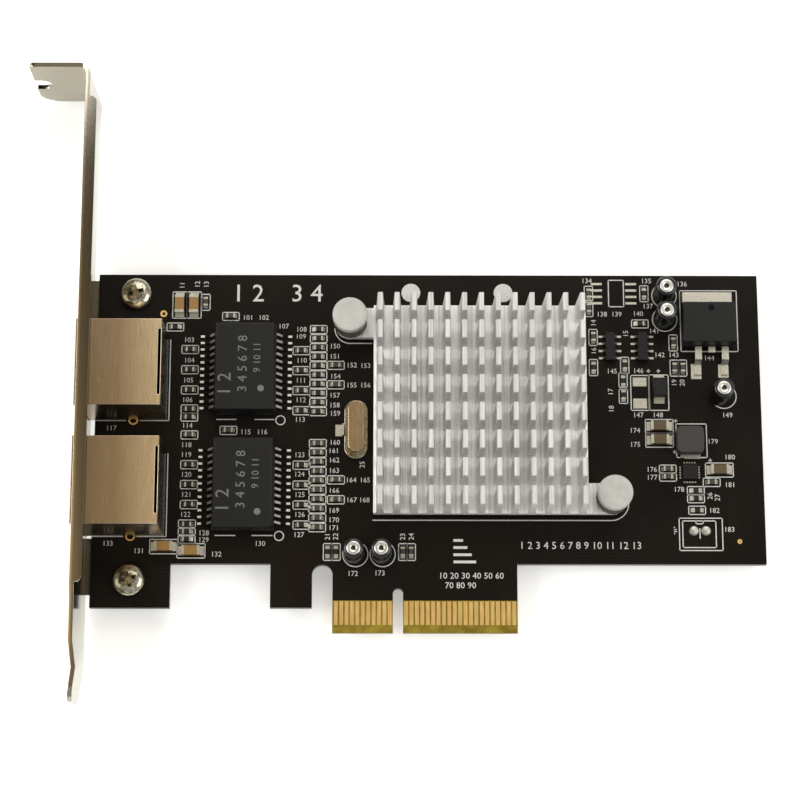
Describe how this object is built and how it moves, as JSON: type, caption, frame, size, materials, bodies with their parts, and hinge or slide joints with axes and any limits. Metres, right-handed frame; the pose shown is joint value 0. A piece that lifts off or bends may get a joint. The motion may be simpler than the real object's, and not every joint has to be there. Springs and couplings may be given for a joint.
{
  "type": "network interface card",
  "caption": "Short-height network interface card with two jacks, a finned heat sink, a keyed edge connector and a full-height bracket.",
  "frame": {"origin": "middle of the board's thickness at the tip of the edge connector, on the centre line of its key", "axes": "+X along the board away from the bracket, +Y from the edge connector to the far edge of the board, +Z out of the component side"},
  "size_m": [0.1383, 0.12, 0.0189],
  "materials": {
    "solder_mask": "satin black solder mask over glass laminate",
    "gold_plate": "gold flash over nickel",
    "nickel_sheet": "bright nickel-plated steel sheet",
    "nickel_screw": "bright nickel plate",
    "tinned_shield": "brushed tinned bronze sheet",
    "housing_plastic": "moulded black plastic",
    "clear_plastic": "clear moulded plastic",
    "moulding_compound": "filled epoxy moulding",
    "tin_plate": "matt tin plate",
    "silicone_pad": "soft filled silicone",
    "bare_aluminium": "satin extruded, etched",
    "pin_plastic": "moulded pale plastic",
    "crystal_metal": "satin nickel over drawn steel",
    "can_aluminium": "bright pressed",
    "ferrite": "ground ferrite",
    "resistor_ceramic": "glazed film over ceramic",
    "capacitor_ceramic": "fired ceramic"
  },
  "bodies": {
    "root": {"circuit_board": "solder_mask", "edge_contacts": "gold_plate", "bracket": "nickel_sheet", "bracket_screws": "nickel_screw", "jack_shield_upper": "tinned_shield", "jack_shield_lower": "tinned_shield", "jack_housing_upper": "housing_plastic", "jack_housing_lower": "housing_plastic", "jack_contacts_upper": "gold_plate", "jack_contacts_lower": "gold_plate", "jack_lights": "clear_plastic", "transformer_body_upper": "moulding_compound", "transformer_body_lower": "moulding_compound", "transformer_leads_upper": "tin_plate", "transformer_leads_lower": "tin_plate", "controller_chip": "moulding_compound", "thermal_pad": "silicone_pad", "heat_sink": "bare_aluminium", "push_pins": "pin_plastic", "crystal_base": "crystal_metal", "crystal_can": "crystal_metal", "crystal_strap": "tin_plate", "upright_capacitors": "can_aluminium", "regulator_body": "moulding_compound", "regulator_tab": "tin_plate", "regulator_leads": "tin_plate", "inductor_core": "ferrite", "inductor_terminals": "tin_plate", "converter_chip": "moulding_compound", "diode_body": "moulding_compound", "diode_terminals": "tin_plate", "transistor_body_left": "moulding_compound", "transistor_body_right": "moulding_compound", "transistor_leads_left": "tin_plate", "transistor_leads_right": "tin_plate", "chip_resistors": "resistor_ceramic", "chip_capacitors": "capacitor_ceramic", "large_capacitor_bodies": "capacitor_ceramic", "large_capacitor_terminals": "tin_plate"}
  },
  "joints": []
}
